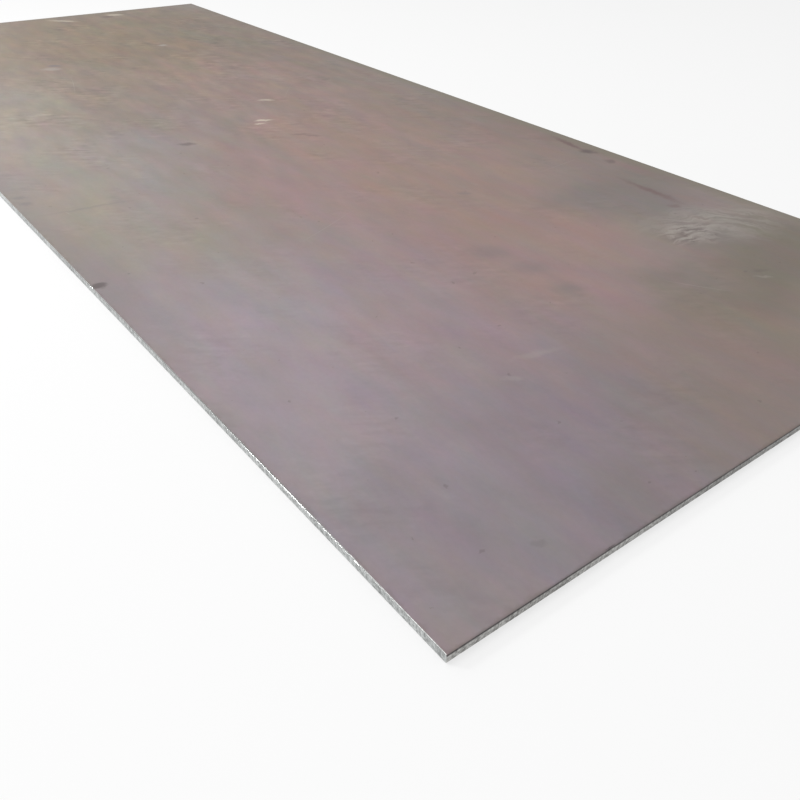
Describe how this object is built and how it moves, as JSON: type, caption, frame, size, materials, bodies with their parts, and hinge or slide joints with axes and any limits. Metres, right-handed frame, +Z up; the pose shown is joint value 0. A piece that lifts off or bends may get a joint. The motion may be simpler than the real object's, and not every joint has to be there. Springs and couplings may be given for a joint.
{
  "type": "steel plate",
  "caption": "Flat rectangular hot-rolled steel plate with sheared edges, lying flat.",
  "frame": {"origin": "middle of the underside, the face that the plate lies on", "axes": "+X across the width, +Y along the length, +Z up through the thickness"},
  "size_m": [1.2192, 3.048, 0.0127],
  "materials": {
    "hot_rolled_steel": "satin"
  },
  "bodies": {
    "root": {"steel_plate": "hot_rolled_steel"}
  },
  "joints": []
}
